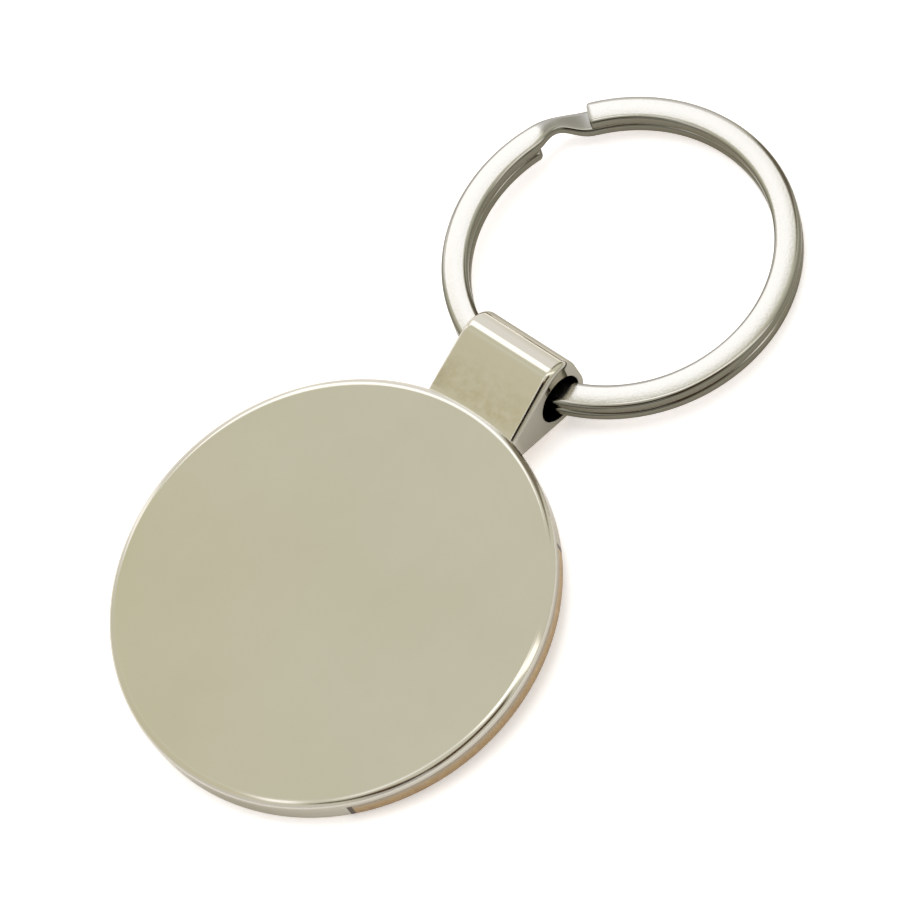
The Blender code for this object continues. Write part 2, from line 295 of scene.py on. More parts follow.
def bore_points():
    """Half section (x, r) of the bore turned about X: y = r cos a, z = r sin a."""
    flare = arc((LUG_WIDTH / 2 - BORE_MOUTH_ROUND, BORE_RADIUS + BORE_MOUTH_ROUND),
                BORE_MOUTH_ROUND, -90.0, 0.0, EDGE_STEPS)
    past = LUG_WIDTH / 2 + OVERRUN
    right = np.vstack([flare, [past, BORE_RADIUS + BORE_MOUTH_ROUND], [past, 0.0]])
    profile = np.vstack([right[::-1] * [-1.0, 1.0], right])
    a = np.linspace(0.0, math.tau, BORE_STEPS, endpoint=False)
    x, r = profile[:, 0][:, None], profile[:, 1][:, None]
    return np.stack([x + 0 * a, r * np.cos(a) + HINGE.y, r * np.sin(a) + HINGE.z], axis=2)


def band_block(name, half_length, top):
    """Block across the whole plate: a column of four corners (y, z) swept along X."""
    reach = PLATE_RADIUS + OVERRUN
    corners = np.array([(-half_length, -OVERRUN), (half_length, -OVERRUN),
                        (half_length, top), (-half_length, top)])
    x = np.array([-reach, reach])[:, None, None]
    points = [np.broadcast_to(x, (2, 4, 1)), np.broadcast_to(corners, (2, 4, 2))]
    return surface(name, np.concatenate(points, axis=2), wrap_columns=True, cap_rows=True)


def bake(item):
    """Replace the mesh by its evaluated one and drop the modifiers."""
    graph = bpy.context.evaluated_depsgraph_get()
    graph.update()
    mesh = bpy.data.meshes.new_from_object(item.evaluated_get(graph))
    item.modifiers.clear()
    item.data = mesh


def combine(item, tool, operation):
    """Boolean of two closed meshes, applied at once, after which the tool is deleted."""
    change = item.modifiers.new(tool.name, "BOOLEAN")
    change.operation = operation
    change.object = tool
    change.solver = "EXACT"
    bake(item)
    bpy.data.objects.remove(tool, do_unlink=True)


combine(casting, lug, "UNION")
bore = surface("bore_cutter", bore_points(), wrap_columns=True, weld=WELD)
combine(casting, bore, "DIFFERENCE")
recess = band_block("recess_cutter", RECESS_HALF_LENGTH, RECESS_DEPTH)
combine(casting, recess, "DIFFERENCE")
print("casting faces:", len(casting.data.polygons))

# %% [markdown]
# A polished casting shows every fault in its shading. More faces would hide such faults at a
# high price. Instead, edges that turn sharply are split, and the shading normals are weighted
# by face area, so that large flats stay flat right up to their roundings.

# %% Shading of mirror-like pieces
SHARP_ANGLE = 32.0
LARGE_FACE_WEIGHT = 100
WALL_STARTS_AT_RISE = 0.80
WALL_FULL_AT_RISE = 0.45


def polish_shading(item):
    """Smooth shading between sharp edges, with normals that follow the largest faces."""
    item.data.shade_smooth()
    item.data.set_sharp_from_angle(angle=math.radians(SHARP_ANGLE))
    weighted = item.modifiers.new("weighted", "WEIGHTED_NORMAL")
    weighted.mode = "FACE_AREA"
    weighted.weight = LARGE_FACE_WEIGHT
    weighted.keep_sharp = True
    bake(item)


def mark_side_walls(item):
    """Store on each face corner how far the surface is a side wall, from 0 to 1.

    The mark follows the rise of the normal, which is its Z part without its sign. It eases from
    0 on surfaces that lie nearly flat to 1 on those that stand.
    """
    normals = np.empty(len(item.data.loops) * 3, np.float32)
    item.data.corner_normals.foreach_get("vector", normals)
    rise = np.abs(normals.reshape(-1, 3)[:, 2])
    share = (WALL_STARTS_AT_RISE - rise) / (WALL_STARTS_AT_RISE - WALL_FULL_AT_RISE)
    place = item.data.attributes.new("side", "FLOAT", "CORNER").data
    place.foreach_set("value", ease(share).astype(np.float32))


polish_shading(casting)
mark_side_walls(casting)
print("casting corners:", len(casting.data.loops))

# %% [markdown]
# The split ring is one flat wire, wound twice. Its sizes repeat the dimensioned model's, with
# finer roundings and a slightly steeper joggle. A ready-made coil would have no place for the
# joggle or the ends, so these have bearings of their own, in degrees round the ring from +X
# towards +Y. The winding starts at the square upper end and runs down in bearing.

# %% Sizes of the split ring
RING_OUTER_RADIUS = 15.848 * MM
WIRE_WIDTH = 2.35 * MM
WIRE_THICKNESS = 1.12 * MM
TURN_GAP = 0.12 * MM
INNER_EDGE_REACH = 0.45 * MM
INNER_EDGE_DROP = 0.24 * MM
OUTER_EDGE_REACH = 0.52 * MM
OUTER_EDGE_DROP = 0.34 * MM
WIRE_CROWN = 0.02 * MM
RING_SAG = 0.15 * MM
RING_LEAN = 1.9
RING_DROOP = 6.263
TOP_END = 141.4
BOTTOM_END = 161.3
JOGGLE_START = 159.5
JOGGLE_END = 141.2
NECK_BEARING = 153.2
NECK_SPREAD = 6.5
NECK_DEPTH = 0.85 * MM
PINCH_SPREAD = 7.0
PINCH_REACH = 0.60 * MM
PINCH_DROP = 0.42 * MM
TIP_ROUND = 0.60 * MM
END_ROUND = 0.30 * MM
RING_STEPS = 1100
CORNER_STEPS = 9
FACE_STEPS = 6

WIRE_PITCH = WIRE_THICKNESS + TURN_GAP
NECK_WOUND = 360.0 + TOP_END - NECK_BEARING
RING_MID_RADIUS = RING_OUTER_RADIUS - WIRE_WIDTH / 2
NEAR_REACH = math.sqrt((RING_OUTER_RADIUS - WIRE_WIDTH) ** 2 - (LUG_WIDTH / 2) ** 2)
RING_SEAT = (RING_OUTER_RADIUS + NEAR_REACH) / 2
print("ring's centre past the bore, mm:", round(RING_SEAT / MM, 2))

# %% [markdown]
# At the joggle the wire steps down by one turn, and its inner side is drawn in to a neck, beside
# which the lower end lies. Two closed rings and a patch could stand for this, but the real wire
# is unbroken, so its path is worked out in one piece, with stations packed closely at both ends.

# %% Path of the wire


def ring_path():
    """Bearing, radius, height and half width of the wire along its winding.

    The height eases from plus to minus half a pitch over the joggle. The neck is a bell curve
    that narrows the wire and moves its middle outwards by half as much.
    """
    total = 720.0 - (BOTTOM_END - TOP_END)
    rounding = 1.0 - np.cos(np.linspace(0.0, math.pi / 2, CORNER_STEPS + 1)[:-1])
    first = np.degrees(END_ROUND * rounding / RING_MID_RADIUS)
    last = total - np.degrees(TIP_ROUND * rounding[::-1] / RING_MID_RADIUS)
    wound = np.concatenate([first, np.linspace(first[-1], last[0], RING_STEPS)[1:-1], last])
    start, end = 360.0 - (JOGGLE_START - TOP_END), 360.0 - (JOGGLE_END - TOP_END)
    height = WIRE_PITCH * (0.5 - ease((wound - start) / (end - start)))
    past_neck = (wound - NECK_WOUND) / NECK_SPREAD
    neck = NECK_DEPTH * np.exp(-past_neck ** 2)
    from_tip = np.radians(total - wound) * RING_MID_RADIUS
    corner = np.clip(1.0 - from_tip / TIP_ROUND, 0.0, 1.0)
    half = (WIRE_WIDTH - neck) / 2 - TIP_ROUND * (1.0 - np.sqrt(1.0 - corner ** 2))
    return wound, np.radians(TOP_END - wound), RING_MID_RADIUS + neck / 2, height, half


print("stations along the wire:", len(ring_path()[0]))

# %% [markdown]
# The wire is drawn through a die, so its section is a rectangle with soft corners and slightly
# crowned faces. Its inner corners catch a wide, dark reflection. A bevel gives round corners
# only, so the section is worked out, with corners that are wider than they are high.

# %% Section of the wire


def wire_section(wound, half):
    """Rounded rectangle at each station, its two wide faces crowned by a parabola.

    The corners are quarter ellipses, wider than high. Those on the inner side grow round the
    neck, where the wire was pinched, and the whole section shrinks by a quarter circle at the
    square end.
    """
    pinch = np.exp(-((wound - NECK_WOUND) / PINCH_SPREAD) ** 2)
    from_end = np.clip(1.0 - np.radians(wound) * RING_MID_RADIUS / END_ROUND, 0.0, 1.0)
    inset = END_ROUND * (1.0 - np.sqrt(1.0 - from_end ** 2))
    half = (half - inset)[:, None]
    tall = (WIRE_THICKNESS / 2 - WIRE_CROWN - inset)[:, None]
    inner = np.stack([INNER_EDGE_REACH + (PINCH_REACH - INNER_EDGE_REACH) * pinch,
                      INNER_EDGE_DROP + (PINCH_DROP - INNER_EDGE_DROP) * pinch], axis=1)
    outer = np.zeros_like(inner) + [OUTER_EDGE_REACH, OUTER_EDGE_DROP]
    outer_stop, inner_stop = half - OUTER_EDGE_REACH, -(half - inner[:, :1])
    quarter = np.linspace(0.0, math.pi / 2, CORNER_STEPS + 1)[None]
    share = np.linspace(0.0, 1.0, FACE_STEPS + 1)[None, 1:-1]
    wide, thick = [], []
    for turn, (side_w, side_t) in enumerate(((1, 1), (-1, 1), (-1, -1), (1, -1))):
        round_w, round_t = (outer if side_w > 0 else inner).T[:, :, None]
        round_t = np.minimum(round_t, tall)
        a = quarter + turn * math.pi / 2
        wide.append(side_w * (half - round_w) + round_w * np.cos(a))
        thick.append(side_t * (tall - round_t) + round_t * np.sin(a))
        if turn in (0, 2):
            start, stop = (outer_stop, inner_stop) if turn == 0 else (inner_stop, outer_stop)
            wide.append(start + (stop - start) * share)
            thick.append(side_t * (tall + WIRE_CROWN * 4.0 * share * (1.0 - share)))
    return np.concatenate(wide, axis=1), np.concatenate(thick, axis=1)


print("points round the wire:", wire_section(ring_path()[0], ring_path()[-1])[0].shape[1])

# %% [markdown]
# A loose ring never hangs quite true in its bore: this one lies low, leans to one side and
# droops to the table. The finished ring could be turned as an object. A piece has to end up
# unturned at the origin, though, so the turns go into its points.

# %% Ring in its seat


def tilt(first, second, degrees):
    """Pair of coordinates turned by t: a cos t + b sin t, and b cos t - a sin t."""
    c, s = math.cos(math.radians(degrees)), math.sin(math.radians(degrees))
    return first * c + second * s, second * c - first * s


def ring_points():
    """Section carried round the path, leaned about Y, set at its seat and drooped about X."""
    wound, bearing, radius, height, half = ring_path()
    wide, thick = wire_section(wound, half)
    reach = radius[:, None] + wide
    x, y = reach * np.cos(bearing)[:, None], reach * np.sin(bearing)[:, None]
    z = height[:, None] + thick - RING_SAG
    x, z = tilt(x, z, RING_LEAN)
    y, z = tilt(y + RING_SEAT, z, RING_DROOP)
    return np.stack([x, y + HINGE.y, z + HINGE.z], axis=2)


wire = ring_points()
ring = surface("wound_ring", wire, wrap_columns=True, cap_rows=True)
low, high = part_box("split_ring")
print("node's box, mm:", [round(v / MM, 3) for v in (*low, *high)])

# %% [markdown]
# The wire's faces are tumbled to a satin, and its side walls stay as glossy as they were drawn,
# but get a painted dim reflection. The joggle, where a tool pressed the wire, and the cut end
# are duller and get painted shade. A finish could find these places from the direction of the
# surface, but that fails on the roundings. The mesh knows them exactly, so they are stored on
# its points before the shading is polished.

# %% Marks on the wire
DULL_SHADED_START = 160.0
DULL_SHADED_START_EASE = 4.5
DULL_SHADED_END = 138.0
DULL_SHADED_END_EASE = 2.0
CUT_REACH_SHARE = 1.5


def store(item, name, value):
    """Keep a value on each point of the wire."""
    place = item.data.attributes.new(name, "FLOAT", "POINT").data
    place.foreach_set("value", np.broadcast_to(value, wire.shape[:2]).astype(np.float32).ravel())


def mark_wire(item):
    """Mark the side walls and the joggle, both from 0 to 1.

    Round the section, the side mark is 0 on the wide faces and grows evenly over each corner.
    Along the wire, the mark of dullness and painted shade eases in and out round the joggle, and
    covers the cut end.
    """
    quarter = np.linspace(0.0, 1.0, CORNER_STEPS + 1)
    flat = np.zeros(FACE_STEPS - 1)
    around = np.concatenate([quarter[::-1], flat, quarter, quarter[::-1], flat, quarter])
    store(item, "side", around)
    wound = ring_path()[0]
    cut = ease(CUT_REACH_SHARE - np.radians(wound) * RING_MID_RADIUS / END_ROUND)
    bearing = 360.0 + TOP_END - wound
    # This mark makes the joggle duller and gives it painted shade.
    dull_and_shaded = (ease((DULL_SHADED_START - bearing) / DULL_SHADED_START_EASE)
               * ease((bearing - DULL_SHADED_END) / DULL_SHADED_END_EASE))
    store(item, "dull_and_shaded", np.maximum(dull_and_shaded, cut)[:, None])


mark_wire(ring)
polish_shading(ring)
print("ring faces:", len(ring.data.polygons))

# %% [markdown]
# The wood is a slice of the plate's round, glued into the recess and sanded flush with the rim.
# Its curved edge has to follow the plate's exactly, so it is turned as a whole disc with the
# plate's lower rounding, and trimmed to a band by a block. At the rim a narrow lip stands up
# past the film of glue to the metal, as the sanded joint shows no glue.

# %% Wood inlay
INLAY_THICKNESS = 1.7 * MM
LIP_HEIGHT = 1.845 * MM
LIP_REACH = 0.14 * MM
END_GAP = 0.03 * MM
INLAY_HALF_LENGTH = RECESS_HALF_LENGTH - END_GAP


def inlay_profile():
    """(radius, height) of the inlay's disc: flat top, lip, side and the plate's lower rim."""
    lip = PLATE_RADIUS - LIP_REACH
    top = [(0.0, INLAY_THICKNESS), (lip, INLAY_THICKNESS), (lip, LIP_HEIGHT),
           (PLATE_RADIUS, LIP_HEIGHT)]
    return np.concatenate([top, lower_rim(), [(0.0, 0.0)]])


wood = surface("inlay_band", revolve(inlay_profile(), PLATE_STEPS), wrap_columns=True, weld=WELD)
trim = band_block("inlay_trim", INLAY_HALF_LENGTH, INLAY_THICKNESS + OVERRUN)
combine(wood, trim, "INTERSECT")
polish_shading(wood)
print("inlay faces:", len(wood.data.polygons))

# %% [markdown]
# A finish is a tree of nodes. It could be wired by hand in the shader editor, but written out
# it can be read and repeated. One helper adds a node with its settings and links, and another
# makes a group with named sockets, for an effect that several finishes use.

# %% Nodes and groups


def node(tree, kind, settings=None, **sockets):
    """New node; a socket given another node's output is linked, any other value is set.

    A socket is named by its label, with underscores for spaces, or by the letter i and its
    number where labels repeat.
    """
    item = tree.nodes.new(kind)
    for key, value in (settings or {}).items():
        setattr(item, key, value)
    for key, value in sockets.items():
        numbered = key[0] == "i" and key[1:].isdigit()
        socket = item.inputs[int(key[1:]) if numbered else key.replace("_", " ")]
        if isinstance(value, bpy.types.NodeSocket):
            tree.links.new(value, socket)
        else:
            socket.default_value = value
    return item


def new_group(name, inputs, outputs):
    """Node group with typed, named sockets; returns the tree and its two end nodes."""
    tree = bpy.data.node_groups.new(name, "ShaderNodeTree")
    for label, kind in inputs.items():
        tree.interface.new_socket(label, in_out="INPUT", socket_type="NodeSocket" + kind)
    for label, kind in outputs.items():
        tree.interface.new_socket(label, in_out="OUTPUT", socket_type="NodeSocket" + kind)
    return tree, tree.nodes.new("NodeGroupInput"), tree.nodes.new("NodeGroupOutput")


def new_material(name):
    """Material with its tree and its main shader."""
    finish = bpy.data.materials.new(name)
    finish.use_nodes = True
    return finish, finish.node_tree, finish.node_tree.nodes["Principled BSDF"]


print("materials so far:", len(bpy.data.materials))

# %% [markdown]
# Most finishes are blends: a mask from 0 to 1 leads from one tone or value to another. The
# masks come from places on the piece, from its stored marks, or from clouds of noise. These few
# steps repeat in every finish, so each is a short helper.

# %% Masks and blends


def product(tree, first, second):
    """Two values multiplied, which keeps a mask only where both are high."""
    return node(tree, "ShaderNodeMath", {"operation": "MULTIPLY"}, i0=first, i1=second).outputs[0]


def ramp(tree, value, start, end):
    """Mask that goes evenly from 0 at start to 1 at end."""
    return node(tree, "ShaderNodeMapRange", Value=value, i1=start, i2=end).outputs[0]


def eased(tree, value, start, end, low=0.0, high=1.0):
    """Mask that eases from low at start to high at end."""
    return node(tree, "ShaderNodeMapRange", {"interpolation_type": "SMOOTHSTEP"}, Value=value,
                i1=start, i2=end, i3=low, i4=high).outputs[0]


def blend_value(tree, mask, low, high):
    """Value that goes evenly from low to high with the mask."""
    return node(tree, "ShaderNodeMapRange", Value=mask, i3=low, i4=high).outputs[0]


def blend_colour(tree, mask, low, high):
    """Colour that goes from low to high with the mask; each is a tone or a node's output."""
    low, high = [tone if isinstance(tone, bpy.types.NodeSocket) else (*tone, 1.0)
                 for tone in (low, high)]
    return node(tree, "ShaderNodeMix", {"data_type": "RGBA"}, i0=mask, i6=low, i7=high).outputs[2]


def piece_place(tree):
    """Place on the piece, in metres."""
    return node(tree, "ShaderNodeTexCoord").outputs["Object"]


def mark(tree, name):
    """Mark that is stored on the mesh under this name."""
    return node(tree, "ShaderNodeAttribute", {"attribute_name": name}).outputs["Fac"]


print("blends ready")

# %% [markdown]
# Plating, wood and glue are all faintly clouded. A picture could carry the clouds, but it would
# have to be fitted to each piece, and noise covers any shape. The group is built once, and each
# finish places it with its own size and contrast.

# %% Clouds
CLOUD_DETAIL = 3.0
CLOUD_ROUGHNESS = 0.55
NOISE_MIDDLE = 0.5


def clouds_group():
    """Noise stretched about its middle by the contrast, and cut off at 0 and 1."""
    tree, given, out = new_group("clouds", {"Position": "Vector", "Size": "Float",
                                            "Contrast": "Float"}, {"Mask": "Float"})
    broad = node(tree, "ShaderNodeTexNoise", Vector=given.outputs["Position"],
                 Scale=given.outputs["Size"], Detail=CLOUD_DETAIL, Roughness=CLOUD_ROUGHNESS)
    shifted = node(tree, "ShaderNodeMath", {"operation": "SUBTRACT"}, i0=broad.outputs[0],
                   i1=NOISE_MIDDLE)
    stretched = node(tree, "ShaderNodeMath", {"operation": "MULTIPLY_ADD", "use_clamp": True},
                     i0=shifted.outputs[0], i1=given.outputs["Contrast"], i2=NOISE_MIDDLE)
    tree.links.new(stretched.outputs[0], out.inputs["Mask"])
    return tree


def cloud_mask(tree, place, size, contrast):
    """Clouds at this place; the size is their number per metre."""
    return node(tree, "ShaderNodeGroup", {"node_tree": clouds}, Position=place, Size=size,
                Contrast=contrast).outputs["Mask"]


clouds = clouds_group()
print("cloud nodes:", len(clouds.nodes))

# %% [markdown]
# The casting is plated with nickel and polished. Where it is handled, it has tarnished
# yellowish on the lug's slope. The corner at the lug's left edge and the inside of the bore are
# darkened by painted shade. One grey would miss all this, so each place gets a mask of its own,
# which is worked out from its distances on the piece.

# %% Tarnish and painted shade
STAIN_START = (19.6 * MM, 20.4 * MM)
STAIN_FADE = (20.5 * MM, 25.0 * MM)
STAIN_CLOUDS = (1300.0, 2.6)
# Painted shade in the corner between the plate and the lug's left edge:
CORNER_NEAR_ROOT = (23.5 * MM, 20.6 * MM)
CORNER_NEAR_EDGE = (-3.0 * MM, -5.0 * MM)
CORNER_PAST_RIM = 19.9 * MM
CORNER_CLOUDS = (2100.0, 2.4)
CORNER_LEAST = 0.35
# Painted shade on the bore's wall:
BORE_SHADE_STARTS = BORE_RADIUS + 0.02 * MM
BORE_SHADE_FULL = BORE_RADIUS + 0.005 * MM


def lug_stain(tree, place):
    """Mask of the yellowish tarnish on the lug's slope: it fades from the root to the barrel."""
    along = node(tree, "ShaderNodeSeparateXYZ", Vector=place).outputs["Y"]
    start = eased(tree, along, *STAIN_START)
    fade = eased(tree, along, *STAIN_FADE, 1.0, 0.0)
    blotch = cloud_mask(tree, place, *STAIN_CLOUDS)
    return product(tree, product(tree, start, fade), blotch)


def corner_shade(tree, place):
    """Mask of the painted shade in the corner between the plate and the lug's left edge."""
    split = node(tree, "ShaderNodeSeparateXYZ", Vector=place)
    near_root = eased(tree, split.outputs["Y"], *CORNER_NEAR_ROOT)
    near_edge = eased(tree, split.outputs["X"], *CORNER_NEAR_EDGE)
    past_rim = node(tree, "ShaderNodeMath", {"operation": "GREATER_THAN"},
                    i0=split.outputs["Y"], i1=CORNER_PAST_RIM).outputs[0]
    both = product(tree, near_root, near_edge)
    patchy = blend_value(tree, cloud_mask(tree, place, *CORNER_CLOUDS), CORNER_LEAST, 1.0)
    return product(tree, product(tree, both, patchy), past_rim)


def bore_shade(tree, place):
    """Mask of the painted shade on the bore's wall: 1 at its radius from its axis, 0 just past it.
    """
    off_axis = node(tree, "ShaderNodeVectorMath", {"operation": "SUBTRACT"}, i0=place, i1=HINGE)
    across = node(tree, "ShaderNodeVectorMath", {"operation": "MULTIPLY"},
                  i0=off_axis.outputs[0], i1=(0.0, 1.0, 1.0))
    radius = node(tree, "ShaderNodeVectorMath", {"operation": "LENGTH"}, i0=across.outputs[0])
    return ramp(tree, radius.outputs["Value"], BORE_SHADE_STARTS, BORE_SHADE_FULL)


print("bore's shade ends at radius, mm:", round(BORE_SHADE_STARTS / MM, 3))

# %% [markdown]
# Polished nickel is a warm grey mirror. A plain mirror looks like glass, so small clouds vary
# its tone and its roughness. Side walls reflect the dim lower part of the room, which is easier
# to match as a darker tone than as a light. A Bevel node softens the creases that a caster
# could never keep sharp, which costs no faces.

# %% Polished nickel
BROAD_CLOUDS = (70.0, 1.6)
FINE_CLOUDS = (420.0, 1.8)
NICKEL_DEEP = (0.632, 0.592, 0.498)
NICKEL_PALE = (0.675, 0.632, 0.562)
NICKEL_FINE = (0.560, 0.520, 0.420)
NICKEL_FINE_SHARE = 0.10
STAIN_TONE = (0.566, 0.520, 0.395)
# Painted shade in the lug's corner:
CORNER_SHADE_TONE = (0.480, 0.435, 0.325)
PLATE_WALL_TONE = (0.450, 0.432, 0.380)
LUG_WALL_TONE = (0.302, 0.290, 0.246)
LUG_WALL_FROM = (19.0 * MM, 20.0 * MM)
# Painted shade in the bore:
BORE_SHADE_TONE = (0.060, 0.056, 0.048)
GRAZING_TINT = (0.62, 0.60, 0.54, 1.0)
NICKEL_ROUGHNESS = (0.035, 0.075)
CREASE_RADIUS = 0.22 * MM
CREASE_SAMPLES = 6


def polished_nickel():
    """Clouded grey, overlaid by tarnish, the walls' tone and painted shade in corner and bore."""
    finish, tree, shader = new_material("polished_nickel")
    place = piece_place(tree)
    broad = cloud_mask(tree, place, *BROAD_CLOUDS)
    fine = cloud_mask(tree, place, *FINE_CLOUDS)
    tone = blend_colour(tree, broad, NICKEL_DEEP, NICKEL_PALE)
    tone = blend_colour(tree, blend_value(tree, fine, 0.0, NICKEL_FINE_SHARE), tone, NICKEL_FINE)
    tone = blend_colour(tree, lug_stain(tree, place), tone, STAIN_TONE)
    tone = blend_colour(tree, corner_shade(tree, place), tone, CORNER_SHADE_TONE)
    side = mark(tree, "side")
    along = node(tree, "ShaderNodeSeparateXYZ", Vector=place).outputs["Y"]
    wall = blend_colour(tree, ramp(tree, along, *LUG_WALL_FROM), PLATE_WALL_TONE, LUG_WALL_TONE)
    tone = blend_colour(tree, side, tone, wall)
    tone = blend_colour(tree, bore_shade(tree, place), tone, BORE_SHADE_TONE)
    tree.links.new(tone, shader.inputs["Base Color"])
    tree.links.new(blend_value(tree, fine, *NICKEL_ROUGHNESS), shader.inputs["Roughness"])
    soft_crease = node(tree, "ShaderNodeBevel", {"samples": CREASE_SAMPLES}, Radius=CREASE_RADIUS)
    tree.links.new(soft_crease.outputs[0], shader.inputs["Normal"])
    shader.inputs["Metallic"].default_value = 1.0
    shader.inputs["Specular Tint"].default_value = GRAZING_TINT
    return finish


nickel_finish = polished_nickel()
print("polished nickel nodes:", len(nickel_finish.node_tree.nodes))

# %% [markdown]
# The ring is plated with the same nickel and tumbled, which leaves an orange peel on its faces
# and glossy walls. The peel is far finer than any face of the mesh, so a bump shows it. The
# stored marks lead from satin faces to smooth walls with a painted dim reflection, and to the
# duller joggle with painted shade.

# %% Satin nickel
BLOTCH_CLOUDS = (900.0, 2.2)
GRAIN_CLOUDS = (5000.0, 2.0)
SATIN_DEEP = (0.600, 0.568, 0.516)
SATIN_PALE = (0.640, 0.608, 0.560)
SATIN_GRAIN = (0.470, 0.437, 0.385)
SATIN_GRAIN_SHARE = 0.16
# Painted shade on the duller joggle and the cut end:
JOGGLE_SHADE_TONE = (0.500, 0.485, 0.455)
# Painted dim reflection on the ring's side walls:
WIRE_WALL_SHADE_TONE = (0.152, 0.145, 0.112)
WALL_TONE_FULL = 0.8
WALL_GLOSS_FULL = 0.35
SATIN_ROUGHNESS = (0.15, 0.20)
PRESSED_ROUGHNESS = 0.36
WALL_ROUGHNESS = 0.06
PEEL_SCALE = 4200.0
PEEL_DETAIL = 2.0
PEEL_DEPTH = 0.005 * MM


def satin_nickel():
    """Blotched, grained faces; painted shade on the joggle, a painted dim reflection on the walls.
    """
    finish, tree, shader = new_material("satin_nickel")
    place = piece_place(tree)
    side = mark(tree, "side")
    dull_and_shaded = mark(tree, "dull_and_shaded")
    edge = eased(tree, side, 0.0, WALL_TONE_FULL)
    blotch = cloud_mask(tree, place, *BLOTCH_CLOUDS)
    grain = cloud_mask(tree, place, *GRAIN_CLOUDS)
    face = blend_colour(tree, blotch, SATIN_DEEP, SATIN_PALE)
    face = blend_colour(tree, blend_value(tree, grain, 0.0, SATIN_GRAIN_SHARE), face, SATIN_GRAIN)
    # Painted shade on the joggle.
    face = blend_colour(tree, dull_and_shaded, face, JOGGLE_SHADE_TONE)
    # Painted dim reflection on the walls.
    tone = blend_colour(tree, edge, face, WIRE_WALL_SHADE_TONE)
    tree.links.new(tone, shader.inputs["Base Color"])
    satin = blend_value(tree, blotch, *SATIN_ROUGHNESS)
    satin = blend_value(tree, dull_and_shaded, satin, PRESSED_ROUGHNESS)
    smooth = eased(tree, side, 0.0, WALL_GLOSS_FULL)
    gloss = blend_value(tree, smooth, satin, WALL_ROUGHNESS)
    tree.links.new(gloss, shader.inputs["Roughness"])
    shader.inputs["Metallic"].default_value = 1.0
    peel = node(tree, "ShaderNodeTexNoise", Vector=place, Scale=PEEL_SCALE, Detail=PEEL_DETAIL)
    depth = blend_value(tree, edge, 1.0, 0.0)
    bump = node(tree, "ShaderNodeBump", Height=peel.outputs[0], Strength=depth,
                Distance=PEEL_DEPTH)
    tree.links.new(bump.outputs[0], shader.inputs["Normal"])
    shader.inputs["Specular Tint"].default_value = GRAZING_TINT
    return finish


satin_finish = satin_nickel()
print("satin nickel nodes:", len(satin_finish.node_tree.nodes))

# %% [markdown]
# The inlay is a pale hardwood, sanded and thinly oiled, with its grain across the tag. The grain
# could be a wave pattern, but end fibres at the rim look like speckle, so clouds are drawn out
# along X and do both. Its rim turns greyish along the metal. It also carries painted shade: it
# darkens towards the underside, and it is nearly black at the two ends, where the joints to the
# metal lie in shadow.

# %% Pale wood
GRAIN_STRETCH = (0.07, 1.0, 1.0)
GROWTH_CLOUDS = (900.0, 1.8)
FIBRE_CLOUDS = (5200.0, 2.4)
WOOD_DEEP = (0.490, 0.305, 0.125)
WOOD_PALE = (0.680, 0.460, 0.215)
FIBRE_TONE = (0.250, 0.150, 0.080)
FIBRE_SHARE = 0.35
# Painted shade, darker towards the underside:
LOW_SHADE_TONE = (0.190, 0.110, 0.055)
LOW_SHADE_HEIGHTS = (1.5 * MM, 0.2 * MM)
LOW_SHADE_SHARE = 0.5
UPPER_GREY_TONE = (0.420, 0.355, 0.290)
UPPER_GREY_HEIGHTS = (1.15 * MM, 1.75 * MM)
UPPER_GREY_SHARE = 0.75
# Painted shade at the two ends, where the joints to the metal lie in shadow:
END_SHADE_TONE = (0.055, 0.030, 0.016)
END_SHADE_REACH = 0.32 * MM
END_SHADE_FULL_SHARE = 0.7
WOOD_ROUGHNESS = (0.42, 0.60)
FIBRE_BUMP = 0.6
FIBRE_DEPTH = 0.03 * MM


def pale_wood():
    """Growth and fibre clouds, under painted shade low down and at the ends, and a greyish top."""
    finish, tree, shader = new_material("pale_wood")
    place = piece_place(tree)
    along = node(tree, "ShaderNodeMapping", Vector=place, Scale=GRAIN_STRETCH).outputs[0]
    split = node(tree, "ShaderNodeSeparateXYZ", Vector=place)
    growth = cloud_mask(tree, along, *GROWTH_CLOUDS)
    fibre = cloud_mask(tree, along, *FIBRE_CLOUDS)
    tone = blend_colour(tree, growth, WOOD_DEEP, WOOD_PALE)
    tone = blend_colour(tree, blend_value(tree, fibre, 0.0, FIBRE_SHARE), tone, FIBRE_TONE)
    height = split.outputs["Z"]
    # Painted shade towards the underside.
    low_shade = eased(tree, height, *LOW_SHADE_HEIGHTS, 0.0, LOW_SHADE_SHARE)
    tone = blend_colour(tree, low_shade, tone, LOW_SHADE_TONE)
    upper_grey = eased(tree, height, *UPPER_GREY_HEIGHTS, 0.0, UPPER_GREY_SHARE)
    tone = blend_colour(tree, upper_grey, tone, UPPER_GREY_TONE)
    # Painted shade at the two ends.
    far = node(tree, "ShaderNodeMath", {"operation": "ABSOLUTE"}, i0=split.outputs["Y"])
    end_shade = eased(tree, far.outputs[0], INLAY_HALF_LENGTH - END_SHADE_REACH,
                    INLAY_HALF_LENGTH - END_SHADE_FULL_SHARE * END_SHADE_REACH)
    tone = blend_colour(tree, end_shade, tone, END_SHADE_TONE)
    tree.links.new(tone, shader.inputs["Base Color"])
    tree.links.new(blend_value(tree, fibre, *WOOD_ROUGHNESS), shader.inputs["Roughness"])
    bump = node(tree, "ShaderNodeBump", Height=fibre, Strength=FIBRE_BUMP, Distance=FIBRE_DEPTH)
    tree.links.new(bump.outputs[0], shader.inputs["Normal"])
    return finish


wood_finish = pale_wood()
print("pale wood nodes:", len(wood_finish.node_tree.nodes))

# %% [markdown]
# The glue dries to a clear brown film between wood and metal. It is hidden once the tag is
# together, so a streaky brown is enough.

